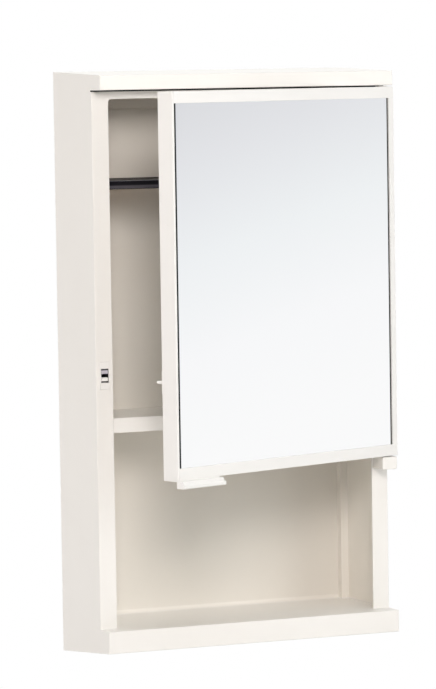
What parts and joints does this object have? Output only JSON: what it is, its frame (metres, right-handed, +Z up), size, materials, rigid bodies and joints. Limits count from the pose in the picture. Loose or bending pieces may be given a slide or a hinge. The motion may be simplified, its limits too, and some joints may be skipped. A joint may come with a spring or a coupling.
{
  "type": "mirror cabinet",
  "caption": "Narrow white wall cabinet with a side-hinged mirror door, finger pull, spring catch, inner shelves and an open bottom shelf.",
  "frame": {"origin": "centre of the four wall-screw holes, on the face that meets the wall", "axes": "+X to the viewer's right, +Y into the wall, +Z up"},
  "size_m": [0.3173, 0.2353, 0.5756],
  "materials": {
    "white_shell": "smooth satin moulded styrene, warm white",
    "white_door": "smooth satin moulded styrene, warm white",
    "white_panel": "fine matt moulded sheet, warm white",
    "white_fittings": "smooth moulded nylon, white",
    "catch_grey": "smooth moulded acetal, pale grey",
    "smoked_plastic": "polished dark smoked acrylic",
    "mirror": "clear silvered glass",
    "backing_board": "dull black foam sheet",
    "seal_rubber": "matt black rubber",
    "screw_steel": "zinc plated",
    "pin_steel": "ground steel",
    "spring_steel": "drawn spring wire"
  },
  "bodies": {
    "cabinet": {"cabinet_shell": "white_shell", "header_seal": "seal_rubber", "back_panel": "white_panel", "back_panel_screws": "screw_steel", "hanging_rail": "white_panel", "middle_shelf": "white_shell", "middle_shelf_screws": "screw_steel", "smoked_shelf": "smoked_plastic", "shelf_pegs": "white_fittings", "lower_hinge_bracket": "white_shell", "hinge_bracket_screws": "screw_steel", "lower_hinge_pin": "pin_steel", "upper_hinge_pin": "pin_steel", "catch_housing": "white_fittings", "catch_spring_upper": "spring_steel", "catch_spring_lower": "spring_steel"},
    "door": {"door_case": "white_door", "door_top_rail": "white_door", "door_bottom_rail": "white_door", "mirror_glass": "mirror", "mirror_backing": "backing_board", "door_back_cover": "white_door", "door_back_screws": "screw_steel", "door_handle": "white_door", "handle_screws": "screw_steel", "latch_tongue": "white_fittings", "latch_screws": "screw_steel", "door_upper_bush": "white_fittings", "door_lower_bush": "white_fittings"},
    "catch_jaw_upper": {"catch_jaw_upper": "catch_grey"},
    "catch_jaw_lower": {"catch_jaw_lower": "white_fittings"}
  },
  "joints": [
    {"name": "door_hinge", "type": "hinge", "parent": "cabinet", "child": "door", "pos_m": [0.1495, -0.109, -0.031], "axis": [0, 0, 1], "range_deg": [-21.3, 93]},
    {"name": "upper_jaw_slide", "type": "slide", "parent": "cabinet", "child": "catch_jaw_upper", "axis": [0, 0, 1], "range_m": [0, 0.0012], "stiffness_N_per_m": 150, "springref_m": -0.002, "deforming": ["catch_spring_upper"]},
    {"name": "lower_jaw_slide", "type": "slide", "parent": "cabinet", "child": "catch_jaw_lower", "axis": [0, 0, -1], "range_m": [0, 0.0012], "stiffness_N_per_m": 150, "springref_m": -0.002, "deforming": ["catch_spring_lower"]}
  ]
}
